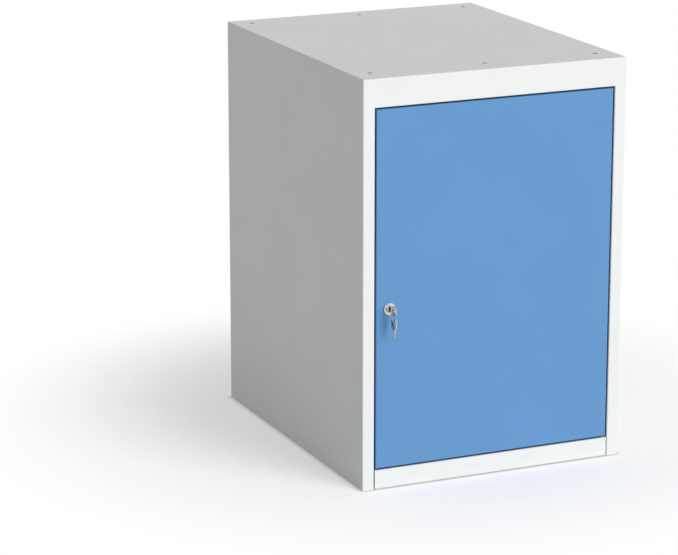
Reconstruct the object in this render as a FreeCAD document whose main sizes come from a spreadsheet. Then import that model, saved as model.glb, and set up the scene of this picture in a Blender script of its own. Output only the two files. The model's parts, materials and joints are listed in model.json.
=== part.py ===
import FreeCAD, Part
import math
import os
import re

import Sketcher

# Storage cabinet for the space under a workbench: a folded and welded sheet-steel carcass, a flush
# door on two pivot pins, a cam lock with its two keys, and one shelf hung on slotted uprights.
# Millimetres. X runs to the right seen from the front, Y to the back and Z up. The origin is on
# the floor, under the middle of the carcass.

# Driving sizes, one spreadsheet cell each. Lengths are in millimetres and turns in degrees.
SIZES = (
    # carcass: overall size, sheet and its outside bend radius, front frame and rear flanges
    ("width", 500),
    ("depth", 600),
    ("height", 720),
    ("sheet", 1),
    ("bend", 2),
    ("fit", 0.3),
    ("stile", 22),
    ("rail", 50),
    ("rail_lip", 10),
    ("rear_flange", 15),
    ("stop_reach", 12),
    # base: kick rail and folded floor pan
    ("plinth_rise", 34),
    ("plinth_seam", 1.6),
    ("plinth_foot", 15),
    ("plinth_lip", 15),
    ("pan_return", 15),
    # fixing holes in the top: size, and distance from the sides, front and back
    ("fix_hole", 9),
    ("fix_side", 35),
    ("fix_front", 50),
    ("fix_rear", 35),
    # door: gap all round, folded pan, rubber buffers and the hat section behind its face
    ("door_gap", 3),
    ("door_depth", 18),
    ("door_return", 12),
    ("buffer_gap", 1.5),
    ("buffer_size", 9),
    ("buffer_end", 90),
    ("hat_half", 35),
    ("hat_crown", 20),
    ("hat_depth", 15),
    ("hat_end", 20),
    # pivot hinge: axis from the door's edge and face, headed pin, flanged bush, doubler plate
    ("pivot_inset", 10),
    ("pivot_back", 8),
    ("pin_size", 6),
    ("pin_head", 10),
    ("pin_head_tall", 1.5),
    ("pin_short", 1),
    ("running", 0.05),
    ("end_play", 0.1),
    ("bush_size", 9),
    ("bush_flange", 12),
    ("bush_tall", 14),
    ("plate_reach", 24),
    ("plate_tall", 2),
    # cam lock: axis, cap, threaded barrel with two flats, turning plug, nut, cam and its screw
    ("lock_inset", 25),
    ("lock_rise", 320),
    ("cap_size", 22),
    ("cap_tall", 3.5),
    ("cap_chamfer", 1.2),
    ("barrel_size", 18.6),
    ("barrel_flats", 16),
    ("plug_size", 12.6),
    ("plug_sunk", 0.4),
    ("tail_size", 7),
    ("nut_flats", 24),
    ("nut_tall", 4),
    ("cam_gap", 0.5),
    ("cam_tall", 2.5),
    ("cam_half", 8),
    ("cam_reach", 28),
    ("cam_corner", 3),
    ("washer_size", 13),
    ("washer_tall", 1),
    ("screw_size", 4),
    ("screw_flats", 8),
    ("screw_head_tall", 3),
    ("screw_deep", 6),
    # keys: holed bow, notched blade, and the flat-wire ring between the key and the spare
    ("key_thick", 2),
    ("key_out", 3),
    ("bow_long", 20),
    ("bow_half", 8.5),
    ("bow_round", 7),
    ("bow_hole_end", 8.5),
    ("bow_hole_long", 8),
    ("bow_hole_half", 4),
    ("bow_hole_round", 3.9),
    ("blade_long", 15),
    ("blade_half", 4),
    ("blade_tip", 2),
    ("notch_count", 3),
    ("notch_deep", 1.3),
    ("notch_half", 1.1),
    ("notch_pitch", 2.8),
    ("notch_first", 3.4),
    ("key_play", 0.1),
    ("ring_radius", 8),
    ("ring_thick", 1.2),
    ("ring_wide", 1.3),
    ("ring_play", 0.9),
    ("ring_turn", 45),
    ("spare_turn", 94),
    # shelf, the slotted uprights that carry it, and its clips
    ("upright_wide", 24),
    ("upright_deep", 10),
    ("upright_front", 60),
    ("upright_rear", 70),
    ("upright_top", 20),
    ("slot_wide", 14),
    ("slot_tall", 4),
    ("slot_pitch", 50),
    ("slot_end", 16),
    ("shelf_slot", 6),
    ("shelf_tall", 25),
    ("shelf_return", 12),
    ("shelf_side", 2),
    ("shelf_front", 16),
    ("shelf_rear", 8),
    ("clip_thick", 2),
    ("clip_play", 0.4),
    ("clip_ledge", 14),
    ("clip_hook", 7),
)

# Places and lengths that follow from the driving sizes
PLACES = {
    "front": "-depth / 2",
    "back": "depth / 2",
    "wall": "width / 2 - sheet",
    "inner_bend": "bend - sheet",
    "open_half": "width / 2 - stile",
    "open_top": "height - rail",
    "stop_back": "front + door_depth + buffer_gap + sheet",
    "stop_front": "stop_back - sheet",
    "pan_front": "stop_back + fit",
    "pan_back": "back - 2 * sheet",
    "door_half": "open_half - door_gap",
    "door_bottom": "plinth_rise + door_gap",
    "door_top": "open_top - door_gap",
    "door_back": "front + door_depth",
    "pivot_x": "door_half - pivot_inset",
    "pivot_y": "front + pivot_back",
    "lock_x": "lock_inset - door_half",
    "barrel_long": "stop_back - front + cam_gap - end_play",
    "cam_front": "stop_back - front + cam_gap",
    "cam_back": "cam_front + cam_tall",
    "screw_seat": "cam_back + washer_tall",
    "bow_near": "-cap_tall - key_out",
    "bow_far": "bow_near - bow_long",
    "bow_hole": "bow_far + bow_hole_end",
    "upright_near": "pan_front + upright_front",
    "upright_far": "pan_back - upright_rear - upright_wide",
    "upright_bottom": "plinth_rise",
    "upright_long": "height - sheet - upright_top - upright_bottom",
    "upright_face": "wall - upright_deep",
    "slot_first": "upright_bottom + slot_end",
    "slot_count": "floor((upright_long - 2 * slot_end) / slot_pitch) + 1",
    "shelf_bottom": "slot_first + shelf_slot * slot_pitch",
    "shelf_half": "upright_face - shelf_side",
}

ALIASES = {name for name, number in SIZES}

# Two coordinates closer than this are the same place
SAME_PLACE = 1e-4
HEXAGON_STEP = 60

doc = FreeCAD.newDocument("storage_cabinet")
sizes = doc.addObject("Spreadsheet::Sheet", "Sizes")
for row, (name, number) in enumerate(SIZES, 1):
    sizes.set("A%d" % row, name)
    sizes.set("B%d" % row, str(number))
    sizes.setAlias("B%d" % row, name)
doc.recompute()


# Sizes written as formulas
def formula(text):
    """The formula with derived places spelled out and each driving size read from its cell."""

    def spell(match):
        word = match[0]
        if word in PLACES:
            return "(" + formula(PLACES[word]) + ")"
        return "Sizes." + word if word in ALIASES else word

    return re.sub(r"[A-Za-z_]\w*", spell, str(text))


def value(text):
    return float(sizes.evalExpression(formula(text)))


def minus(text):
    return "-(%s)" % text


# Sketches
def new_body(label):
    body = doc.addObject("PartDesign::Body", label)
    body.Label = label
    return body


def new_sketch(body, plane, offset):
    sketch = body.newObject("Sketcher::SketchObject", "Sketch")
    support = next(o for o in body.Origin.OriginFeatures if o.Role == plane)
    sketch.AttachmentSupport = [(support, "")]
    sketch.MapMode = "FlatFace"
    sketch.setExpression("AttachmentOffset.Base.z", formula(offset))
    return sketch


def hold(sketch, kind, text, *points):
    """Add one dimension to a sketch and tie it to its formula."""
    number = sketch.addConstraint(Sketcher.Constraint(kind, *points, value(text)))
    sketch.setExpression("Constraints[%d]" % number, formula(text))


def hold_point(sketch, geometry, point, place):
    hold(sketch, "DistanceX", place[0], -1, 1, geometry, point)
    hold(sketch, "DistanceY", place[1], -1, 1, geometry, point)


def draw_loop(sketch, points):
    """A closed outline of straight lines through the given points."""
    corners = [FreeCAD.Vector(value(u), value(v), 0) for u, v in points]
    first = sketch.GeometryCount
    for start, end in zip(corners, corners[1:] + corners[:1]):
        sketch.addGeometry(Part.LineSegment(start, end), False)
    for number, place in enumerate(points):
        following = first + (number + 1) % len(points)
        sketch.addConstraint(Sketcher.Constraint("Coincident", first + number, 2, following, 1))
        hold_point(sketch, first + number, 1, place)


def draw_circle(sketch, centre, size):
    middle = FreeCAD.Vector(value(centre[0]), value(centre[1]), 0)
    up = FreeCAD.Vector(0, 0, 1)
    number = sketch.addGeometry(Part.Circle(middle, up, value(size) / 2), False)
    hold_point(sketch, number, 3, centre)
    hold(sketch, "Diameter", size, number)


def box_loop(u_low, u_high, v_low, v_high):
    return [(u_low, v_low), (u_high, v_low), (u_high, v_high), (u_low, v_high)]


# Features
def extrude(body, plane, start, end, loops=(), circles=(), remove=False):
    """Add or cut away a profile between two places along the axis that is square to its plane."""
    normal_is_axis = plane != "XZ_Plane"
    base = start if normal_is_axis != remove else end
    sketch = new_sketch(body, plane, base if normal_is_axis else minus(base))
    for points in loops:
        draw_loop(sketch, points)
    for centre, size in circles:
        draw_circle(sketch, centre, size)
    before = body.Shape.Volume if remove else 0
    feature = body.newObject("PartDesign::Pocket" if remove else "PartDesign::Pad", "Feature")
    feature.Profile = sketch
    feature.setExpression("Length", formula("(%s) - (%s)" % (end, start)))
    doc.recompute()
    if remove and body.Shape.Volume >= before:
        raise RuntimeError("a cut in %s removes nothing" % body.Label)
    return feature


def cut(body, plane, start, end, loops=(), circles=()):
    return extrude(body, plane, start, end, loops, circles, remove=True)


def turn(body, plane, points):
    """Revolve a profile of (radius, place along the axis) about the upright axis of its sketch."""
    sketch = new_sketch(body, plane, "0")
    draw_loop(sketch, points)
    feature = body.newObject("PartDesign::Revolution", "Feature")
    feature.Profile = sketch
    feature.ReferenceAxis = (sketch, ["V_Axis"])
    feature.Angle = 360
    doc.recompute()
    return feature


def edges_at(shape, places):
    """Names of the edges that lie at all the given coordinates from end to end."""
    wanted = [(axis, value(text)) for axis, text in places.items()]
    names = []
    for number, edge in enumerate(shape.Edges, 1):
        ends = [vertex.Point for vertex in edge.Vertexes]
        if all(abs(getattr(end, axis) - at) < SAME_PLACE for end in ends for axis, at in wanted):
            names.append("Edge%d" % number)
    return names


def fillet(body, radius, *edge_places):
    """Round the edges found at each of the given sets of coordinates."""
    base = body.Tip
    names = []
    for places in edge_places:
        found = edges_at(base.Shape, places)
        if not found:
            raise RuntimeError("no edge of %s at %s" % (body.Label, places))
        names += found
    feature = body.newObject("PartDesign::Fillet", "Round")
    feature.Base = (base, sorted(set(names)))
    feature.setExpression("Radius", formula(radius))
    doc.recompute()


def hollow(body, axis, place):
    """Leave a wall of one sheet, open at the flat face that lies at the given place."""
    base = body.Tip
    at = value(place)
    faces = []
    for number, face in enumerate(base.Shape.Faces, 1):
        box = face.BoundBox
        low = getattr(box, axis.upper() + "Min")
        high = getattr(box, axis.upper() + "Max")
        if abs(low - at) < SAME_PLACE and abs(high - at) < SAME_PLACE:
            faces.append("Face%d" % number)
    feature = body.newObject("PartDesign::Thickness", "Wall")
    feature.Base = (base, faces)
    feature.setExpression("Value", formula("sheet"))
    feature.Reversed = True
    doc.recompute()
    return feature


def put(body, x, y, z):
    """Set the body's own origin at a place in the cabinet."""
    for axis, text in zip("xyz", (x, y, z)):
        body.setExpression("Placement.Base." + axis, formula(text))
    doc.recompute()


# The carcass shell: sides, top and front frame as they are after welding
def carcass_shell():
    body = new_body("carcass_shell")
    half = "width / 2"
    extrude(body, "XY_Plane", "0", "height", [box_loop(minus(half), half, "front", "back")])
    upright_folds = [{"x": x, "y": y} for x in (minus(half), half) for y in ("front", "back")]
    top_folds = [{"z": "height", "x": minus(half)}, {"z": "height", "x": half}]
    top_folds += [{"z": "height", "y": "front"}, {"z": "height", "y": "back"}]
    fillet(body, "bend", *upright_folds, *top_folds)
    hollow(body, "z", "0")
    door_way = box_loop("-open_half", "open_half", "-sheet", "open_top")
    cut(body, "XZ_Plane", "front - sheet", "front + sheet + fit", [door_way])
    rear_half = "width / 2 - rear_flange"
    rear_way = box_loop(minus(rear_half), rear_half, "-sheet", "height - rear_flange")
    cut(body, "XZ_Plane", "back - sheet - fit", "back + sheet", [rear_way])
    front_frame(body)
    rows = ("front + fix_front", "back - fix_rear")
    columns = ("fix_side - width / 2", "0", "width / 2 - fix_side")
    holes = [((x, y), "fix_hole") for y in rows for x in columns]
    cut(body, "XY_Plane", "height - 2 * sheet", "height + sheet", circles=holes)
    pin_hole = [(("pivot_x", "pivot_y"), "pin_size + 2 * running")]
    cut(body, "XY_Plane", "open_top - sheet", "open_top + 2 * sheet", circles=pin_hole)
    return body


def front_frame(body):
    """The returns round the door opening, the door stop on the lock side and the rail's lip."""
    inner, outer = "open_half", "open_half + sheet"
    head = "open_top + sheet"
    returns = [
        (minus(outer), "0"),
        (minus(inner), "0"),
        (minus(inner), "open_top"),
        (inner, "open_top"),
        (inner, "0"),
        (outer, "0"),
        (outer, head),
        (minus(outer), head),
    ]
    extrude(body, "XZ_Plane", "front", "stop_back", [returns])
    stop = box_loop(minus(outer), "stop_reach - open_half", "plinth_rise + fit", "open_top")
    extrude(body, "XZ_Plane", "stop_front", "stop_back", [stop])
    lip = box_loop(minus(outer), outer, "open_top", "open_top + rail_lip")
    extrude(body, "XZ_Plane", "stop_front", "stop_back", [lip])
    outside = [{"x": minus(inner), "y": "front"}, {"x": inner, "y": "front"}]
    outside.append({"z": "open_top", "y": "front"})
    fillet(body, "bend", *outside)


def weld_block(label, side):
    """All that lies on one side of the mitred weld between a side panel and the top."""
    body = new_body(label)
    far = "width"
    inner = "open_half"
    outer = "open_half + sheet"
    outline = [
        (far, minus("sheet")),
        ("0", minus("sheet")),
        ("0", "open_top"),
        (inner, "open_top"),
        (outer, "open_top + sheet"),
        (outer, "height - stile + sheet"),
        (far, "height + width / 2"),
    ]
    points = [("%d * (%s)" % (side, u), v) for u, v in outline]
    extrude(body, "XZ_Plane", "front - width", "back + width", [points])
    return body


def boolean(kind, label, base, tool):
    result = doc.addObject("Part::" + kind, label)
    result.Label = label
    result.Base = base
    result.Tool = tool
    doc.recompute()
    return result


def carcass_panels():
    """The shell taken apart along its welds: left side, right side and top."""
    shell = carcass_shell()
    left_block = weld_block("left_weld", -1)
    right_block = weld_block("right_weld", 1)
    left = boolean("Common", "left_side", shell, left_block)
    right = boolean("Common", "right_side", shell, right_block)
    without_left = boolean("Cut", "shell_without_left", shell, left_block)
    top = boolean("Cut", "top_panel", without_left, right_block)
    return [left, right, top]


def back_panel():
    """A flat sheet held against the rear flanges from inside."""
    body = new_body("back_panel")
    half = "width / 2 - bend - fit"
    outline = box_loop(minus(half), half, "0", "height - bend - fit")
    extrude(body, "XZ_Plane", "pan_back", "back - sheet", [outline])
    return body


def folded_pan(label, half, y_low, y_high, z_low, z_high, turned_in):
    """A sheet with all four edges folded down, and turned in again along the bottom."""
    body = new_body(label)
    extrude(body, "XY_Plane", z_low, z_high, [box_loop(minus(half), half, y_low, y_high)])
    sides = [{"z": z_high, "x": minus(half)}, {"z": z_high, "x": half}]
    ends = [{"z": z_high, "y": y_low}, {"z": z_high, "y": y_high}]
    fillet(body, "bend", *sides, *ends)
    hollow(body, "z", z_low)
    inner_half = "%s - %s" % (half, turned_in)
    rim = box_loop(minus(half), half, y_low, y_high)
    mouth = box_loop(
        minus(inner_half),
        inner_half,
        "%s + %s" % (y_low, turned_in),
        "%s - %s" % (y_high, turned_in),
    )
    extrude(body, "XY_Plane", z_low, "%s + sheet" % z_low, [rim, mouth])
    return body


def base_pan():
    return folded_pan("base_pan", "wall", "pan_front", "pan_back", "0", "plinth_rise", "pan_return")


def plinth():
    """The kick rail under the door: a folded channel let in between the two stiles."""
    body = new_body("plinth")
    half = "open_half - plinth_seam"
    under = "plinth_rise - sheet"
    lip_end = "plinth_rise - plinth_lip"
    profile = [
        ("front + plinth_foot", "0"),
        ("front", "0"),
        ("front", "plinth_rise"),
        ("pan_front", "plinth_rise"),
        ("pan_front", lip_end),
        ("pan_front - sheet", lip_end),
        ("pan_front - sheet", under),
        ("front + sheet", under),
        ("front + sheet", "sheet"),
        ("front + plinth_foot", "sheet"),
    ]
    extrude(body, "YZ_Plane", minus(half), half, [profile])
    outside = [{"y": "front", "z": "0"}, {"y": "front", "z": "plinth_rise"}]
    outside.append({"y": "pan_front", "z": "plinth_rise"})
    fillet(body, "bend", *outside)
    inside = [{"y": "front + sheet", "z": "sheet"}, {"y": "front + sheet", "z": under}]
    inside.append({"y": "pan_front - sheet", "z": under})
    fillet(body, "inner_bend", *inside)
    pin_hole = [(("pivot_x", "pivot_y"), "pin_size + 2 * running")]
    cut(body, "XY_Plane", "plinth_rise - 2 * sheet", "plinth_rise + sheet", circles=pin_hole)
    return body


# Door
def door_panel():
    """A pan with a flat face, edges folded back and turned in, and holes for the lock and bushes."""
    body = new_body("door_panel")
    face = box_loop("-door_half", "door_half", "door_bottom", "door_top")
    extrude(body, "XZ_Plane", "front", "door_back", [face])
    folds = [{"y": "front", "x": "-door_half"}, {"y": "front", "x": "door_half"}]
    folds += [{"y": "front", "z": "door_bottom"}, {"y": "front", "z": "door_top"}]
    fillet(body, "bend", *folds)
    hollow(body, "y", "door_back")
    inner = "door_half - door_return"
    mouth = box_loop(minus(inner), inner, "door_bottom + door_return", "door_top - door_return")
    extrude(body, "XZ_Plane", "door_back - sheet", "door_back", [face, mouth])
    bush_hole = [(("pivot_x", "pivot_y"), "bush_size + 2 * running")]
    cut(body, "XY_Plane", "door_bottom - sheet", "door_bottom + 2 * sheet", circles=bush_hole)
    cut(body, "XY_Plane", "door_top - 2 * sheet", "door_top + sheet", circles=bush_hole)
    lock_hole(body)
    return body


def lock_hole(body):
    """A round hole with two flats, which keeps the lock from turning in the door."""
    sketch = new_sketch(body, "XZ_Plane", minus("front - sheet"))
    radius = "barrel_size / 2 + running"
    flat = "barrel_flats / 2 + running"
    reach = math.sqrt(value(radius) ** 2 - value(flat) ** 2)
    middle = FreeCAD.Vector(value("lock_x"), value("lock_rise"), 0)
    up = FreeCAD.Vector(0, 0, 1)
    circle = Part.Circle(middle, up, value(radius))
    angle = math.atan2(value(flat), reach)
    right = sketch.addGeometry(Part.ArcOfCircle(circle, -angle, angle), False)
    left = sketch.addGeometry(Part.ArcOfCircle(circle, math.pi - angle, math.pi + angle), False)
    high = middle.y + value(flat)
    low = middle.y - value(flat)
    top_line = (FreeCAD.Vector(middle.x + reach, high, 0), FreeCAD.Vector(middle.x - reach, high, 0))
    low_line = (FreeCAD.Vector(middle.x - reach, low, 0), FreeCAD.Vector(middle.x + reach, low, 0))
    top = sketch.addGeometry(Part.LineSegment(*top_line), False)
    bottom = sketch.addGeometry(Part.LineSegment(*low_line), False)
    round_trip = (right, top, left, bottom)
    for one, two in zip(round_trip, round_trip[1:] + round_trip[:1]):
        sketch.addConstraint(Sketcher.Constraint("Coincident", one, 2, two, 1))
    hold_point(sketch, right, 3, ("lock_x", "lock_rise"))
    hold_point(sketch, left, 3, ("lock_x", "lock_rise"))
    hold(sketch, "Radius", radius, right)
    hold(sketch, "Radius", radius, left)
    for line, text in ((top, "lock_rise + %s" % flat), (bottom, "lock_rise - (%s)" % flat)):
        sketch.addConstraint(Sketcher.Constraint("Horizontal", line))
        hold(sketch, "DistanceY", text, -1, 1, line, 1)
    feature = body.newObject("PartDesign::Pocket", "Feature")
    feature.Profile = sketch
    feature.setExpression("Length", formula("sheet + sheet + fit"))
    doc.recompute()


def door_stiffener():
    """A hat section up the middle of the door, spot welded behind its face."""
    body = new_body("door_stiffener")
    low = "front + sheet"
    high = "front + sheet + hat_depth"
    outer = "hat_crown + sheet"
    half_profile = [
        ("hat_crown", "%s - sheet" % high),
        ("hat_crown", low),
        ("hat_half", low),
        ("hat_half", "%s + sheet" % low),
        (outer, "%s + sheet" % low),
        (outer, high),
    ]
    profile = half_profile + [(minus(u), v) for u, v in reversed(half_profile)]
    start = "door_bottom + door_return + hat_end"
    end = "door_top - door_return - hat_end"
    extrude(body, "XY_Plane", start, end, [profile])
    folds = []
    for side in ("", "-"):
        folds.append({"x": "%s(%s)" % (side, outer), "y": high})
        folds.append({"x": "%shat_crown" % side, "y": low})
    fillet(body, "bend", *folds)
    return body


def hinge_plates():
    """The doubler plates that stiffen the door's folds round the two bushes."""
    plates = []
    low = ("lower_hinge_plate", "door_bottom + sheet", "door_bottom + sheet + plate_tall")
    high = ("upper_hinge_plate", "door_top - sheet - plate_tall", "door_top - sheet")
    y_low = "front + bend + fit"
    y_high = "door_back - sheet - fit"
    for label, start, end in (low, high):
        body = new_body(label)
        outline = box_loop("pivot_x - plate_reach", "door_half - sheet - fit", y_low, y_high)
        bush_hole = [(("pivot_x", "pivot_y"), "bush_size + 2 * running")]
        extrude(body, "XY_Plane", start, end, [outline], bush_hole)
        plates.append(body)
    return plates


# Pivot hinge: each end has a headed pin in the carcass and a flanged bush in the door
def hinge_end(label, seat, flip):
    """The pin and bush of one end, drawn from the face that the pin stands on, towards the door."""
    pin = new_body(label + "_hinge_pin")
    head_end = "-sheet - pin_head_tall"
    tip = "door_gap + bush_tall - pin_short"
    turn(
        pin,
        "XZ_Plane",
        [
            ("0", head_end),
            ("pin_head / 2", head_end),
            ("pin_head / 2", "-sheet"),
            ("pin_size / 2", "-sheet"),
            ("pin_size / 2", tip),
            ("0", tip),
        ],
    )
    bush = new_body(label + "_hinge_bush")
    bore = "pin_size / 2 + running"
    turn(
        bush,
        "XZ_Plane",
        [
            (bore, "end_play"),
            ("bush_flange / 2", "end_play"),
            ("bush_flange / 2", "door_gap"),
            ("bush_size / 2", "door_gap"),
            ("bush_size / 2", "door_gap + bush_tall"),
            (bore, "door_gap + bush_tall"),
        ],
    )
    for body in (pin, bush):
        if flip:
            body.Placement.Rotation = FreeCAD.Rotation(FreeCAD.Vector(1, 0, 0), 180)
        put(body, "pivot_x", "pivot_y", seat)
    return [pin, bush]


def door_buffers():
    """Two rubber discs on the door stop."""
    discs = []
    places = ("door_bottom + buffer_end", "door_top - buffer_end")
    for number, rise in enumerate(places, 1):
        disc = new_body("buffer_%d" % number)
        middle = [(("stop_reach / 2 - open_half", rise), "buffer_size")]
        extrude(disc, "XZ_Plane", "door_back + fit", "stop_front", circles=middle)
        discs.append(disc)
    return group("door_buffers", discs)


def group(label, members):
    result = doc.addObject("Part::Compound", label)
    result.Label = label
    result.Links = members
    doc.recompute()
    return result


# Cam lock, drawn about its own axis from the door's face backwards
def lock_body(label):
    body = new_body(label)
    put(body, "lock_x", "front", "lock_rise")
    return body


def lock_housing():
    body = lock_body("lock_housing")
    bore = "plug_size / 2 + running"
    profile = [
        (bore, "-cap_tall"),
        ("cap_size / 2 - cap_chamfer", "-cap_tall"),
        ("cap_size / 2", "cap_chamfer - cap_tall"),
        ("cap_size / 2", "0"),
        ("barrel_size / 2", "0"),
        ("barrel_size / 2", "barrel_long"),
        (bore, "barrel_long"),
    ]
    turn(body, "XY_Plane", profile)
    flats = [box_loop("-cap_size", "cap_size", "barrel_flats / 2", "cap_size")]
    flats.append(box_loop("-cap_size", "cap_size", "-cap_size", "-barrel_flats / 2"))
    cut(body, "XZ_Plane", "0", "barrel_long + sheet", flats)
    return body


def hexagon(flats):
    """Corners of a hexagon of the given width across flats, point up."""
    corner = "%s / 2 / cos(%d / 2)" % (flats, HEXAGON_STEP)
    angles = range(0, 360, HEXAGON_STEP)
    return [("%s * sin(%d)" % (corner, at), "%s * cos(%d)" % (corner, at)) for at in angles]


def lock_nut():
    body = lock_body("lock_nut")
    thread = [(("0", "0"), "barrel_size + 2 * running")]
    extrude(body, "XZ_Plane", "sheet", "sheet + nut_tall", [hexagon("nut_flats")], thread)
    return body


def lock_plug():
    """The turning core: a round plug with a keyway in front and a square tail for the cam."""
    body = lock_body("lock_plug")
    face = "plug_sunk - cap_tall"
    end = "cam_front - end_play / 2"
    radius = "plug_size / 2"
    turn(body, "XY_Plane", [("0", face), (radius, face), (radius, end), ("0", end)])
    tail = "tail_size / 2"
    tail_end = "cam_back - end_play"
    extrude(body, "XZ_Plane", end, tail_end, [box_loop(minus(tail), tail, minus(tail), tail)])
    half_thick = "key_thick / 2 + key_play"
    half_tall = "blade_half + key_play"
    keyway = box_loop(minus(half_thick), half_thick, minus(half_tall), half_tall)
    keyway_end = "bow_near + blade_long + sheet"
    cut(body, "XZ_Plane", "-cap_tall - sheet", keyway_end, [keyway])
    screw_hole = [(("0", "0"), "screw_size + 2 * running")]
    cut(body, "XZ_Plane", "%s - screw_deep" % tail_end, "screw_seat", circles=screw_hole)
    return body


def lock_cam():
    """The flat arm that swings behind the door stop. At rest it hangs down, clear of the stop."""
    body = lock_body("lock_cam")
    arm = box_loop("-cam_half", "cam_half", "-cam_reach", "cam_half")
    extrude(body, "XZ_Plane", "cam_front", "cam_back", [arm])
    head = [{"x": "-cam_half", "z": "cam_half"}, {"x": "cam_half", "z": "cam_half"}]
    fillet(body, "cam_half - fit", *head)
    toe = [{"x": "-cam_half", "z": "-cam_reach"}, {"x": "cam_half", "z": "-cam_reach"}]
    fillet(body, "cam_corner", *toe)
    half = "tail_size / 2 + running"
    square = box_loop(minus(half), half, minus(half), half)
    cut(body, "XZ_Plane", "cam_front - sheet", "cam_back + sheet", [square])
    return body


def cam_washer():
    body = lock_body("cam_washer")
    hole = "screw_size / 2 + running"
    rim = "washer_size / 2"
    turn(body, "XY_Plane", box_loop(hole, rim, "cam_back", "screw_seat"))
    return body


def cam_screw():
    body = lock_body("cam_screw")
    shank = [(("0", "0"), "screw_size")]
    tip = "cam_back - end_play - screw_deep + sheet"
    extrude(body, "XZ_Plane", tip, "screw_seat", circles=shank)
    head_end = "screw_seat + screw_head_tall"
    extrude(body, "XZ_Plane", "screw_seat", head_end, [hexagon("screw_flats")])
    return body


# Keys
def key_body(label):
    """A flat key with a holed bow and notches on both edges of its blade."""
    body = new_body(label)
    half_thick = "key_thick / 2"
    bow = box_loop("bow_far", "bow_near", "-bow_half", "bow_half")
    extrude(body, "YZ_Plane", minus(half_thick), half_thick, [bow])
    corners = [{"y": y, "z": z} for y in ("bow_far", "bow_near") for z in ("-bow_half", "bow_half")]
    fillet(body, "bow_round", *corners)
    extrude(body, "YZ_Plane", minus(half_thick), half_thick, [blade_outline()])
    hole_low = "bow_hole - bow_hole_long / 2"
    hole_high = "bow_hole + bow_hole_long / 2"
    hole = box_loop(hole_low, hole_high, "-bow_hole_half", "bow_hole_half")
    cut(body, "YZ_Plane", "-key_thick", "key_thick", [hole])
    sides = ("-bow_hole_half", "bow_hole_half")
    hole_corners = [{"y": y, "z": z} for y in (hole_low, hole_high) for z in sides]
    fillet(body, "bow_hole_round", *hole_corners)
    return body


def blade_outline():
    """The blade's edge from the bow to the tip along the top, and back along the bottom."""
    end = "bow_near + blade_long"
    edge = [("bow_near - sheet", "blade_half")]
    for notches_ahead in reversed(range(int(value("notch_count")))):
        middle = "%s - notch_first - %d * notch_pitch" % (end, notches_ahead)
        edge.append(("%s - notch_half" % middle, "blade_half"))
        edge.append((middle, "blade_half - notch_deep"))
        edge.append(("%s + notch_half" % middle, "blade_half"))
    edge.append(("%s - blade_tip" % end, "blade_half"))
    edge.append((end, "blade_half - blade_tip"))
    return edge + [(u, minus(v)) for u, v in reversed(edge)]


def keys():
    """The key in the lock, the ring through its bow, and the spare key that hangs on the ring."""
    key = key_body("key")
    put(key, "lock_x", "front", "lock_rise")
    wire = "ring_thick / 2"
    ring_x = "lock_x"
    ring_y = "front + bow_hole"
    ring_top = "lock_rise - bow_hole_half + ring_play + " + wire
    ring = new_body("key_ring")
    inner, outer = "ring_radius - " + wire, "ring_radius + " + wire
    turn(ring, "XY_Plane", box_loop(inner, outer, "-ring_wide / 2", "ring_wide / 2"))
    about_z = FreeCAD.Vector(0, 0, 1)
    ring.Placement.Rotation = FreeCAD.Rotation(about_z, value("ring_turn"))
    put(ring, ring_x, ring_y, ring_top + " - ring_radius")
    spare = key_body("spare_key")
    hang = FreeCAD.Rotation(FreeCAD.Vector(1, 0, 0), -90)
    face = FreeCAD.Rotation(about_z, value("spare_turn") - 90)
    spare.Placement.Rotation = face * hang
    hole_top = ring_top + " - 2 * ring_radius + ring_play + " + wire
    put(spare, ring_x, ring_y, hole_top + " + bow_hole - bow_hole_long / 2")
    return [key, ring, spare]


# Shelf
def uprights():
    """Four slotted channels on the side walls, which carry the shelf clips."""
    made = []
    for side_name, side in (("left", -1), ("right", 1)):
        for end_name, start in (("front", "upright_near"), ("rear", "upright_far")):
            made.append(upright("%s_%s_upright" % (end_name, side_name), side, start))
    return made


def upright(label, side, start):
    body = new_body(label)
    end = "%s + upright_wide" % start
    inner = "upright_face + sheet"
    channel = [
        ("wall", start),
        ("upright_face", start),
        ("upright_face", end),
        ("wall", end),
        ("wall", "%s - sheet" % end),
        (inner, "%s - sheet" % end),
        (inner, "%s + sheet" % start),
        ("wall", "%s + sheet" % start),
    ]
    profile = [("%d * (%s)" % (side, u), v) for u, v in channel]
    extrude(body, "XY_Plane", "upright_bottom", "upright_bottom + upright_long", [profile])
    face = "%d * (upright_face)" % side
    fillet(body, "bend", {"x": face, "y": start}, {"x": face, "y": end})
    low = "%s + (upright_wide - slot_wide) / 2" % start
    slot = box_loop(low, "%s + slot_wide" % low, "slot_first - slot_tall", "slot_first")
    ends = ["%d * (%s)" % (side, place) for place in ("upright_face - fit", inner + " + fit")]
    near, far = sorted(ends, key=value)
    pocket = cut(body, "YZ_Plane", near, far, [slot])
    pattern = body.newObject("PartDesign::LinearPattern", "Slots")
    pattern.Originals = [pocket]
    axis = next(o for o in body.Origin.OriginFeatures if o.Role == "Z_Axis")
    pattern.Direction = (axis, [""])
    pattern.setExpression("Length", formula("(slot_count - 1) * slot_pitch"))
    pattern.setExpression("Occurrences", formula("slot_count"))
    body.Tip = pattern
    doc.recompute()
    return body


def shelf():
    y_low = "pan_front + shelf_front"
    y_high = "pan_back - shelf_rear"
    top = "shelf_bottom + shelf_tall"
    return folded_pan("shelf", "shelf_half", y_low, y_high, "shelf_bottom", top, "shelf_return")


def shelf_clips():
    """Four bent steps. Each passes through a slot, turns up behind it and carries a shelf corner."""
    clips = []
    for side in (-1, 1):
        for start in ("upright_near", "upright_far"):
            clips.append(shelf_clip("clip_%d" % (len(clips) + 1), side, start))
    return group("shelf_clips", clips)


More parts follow.
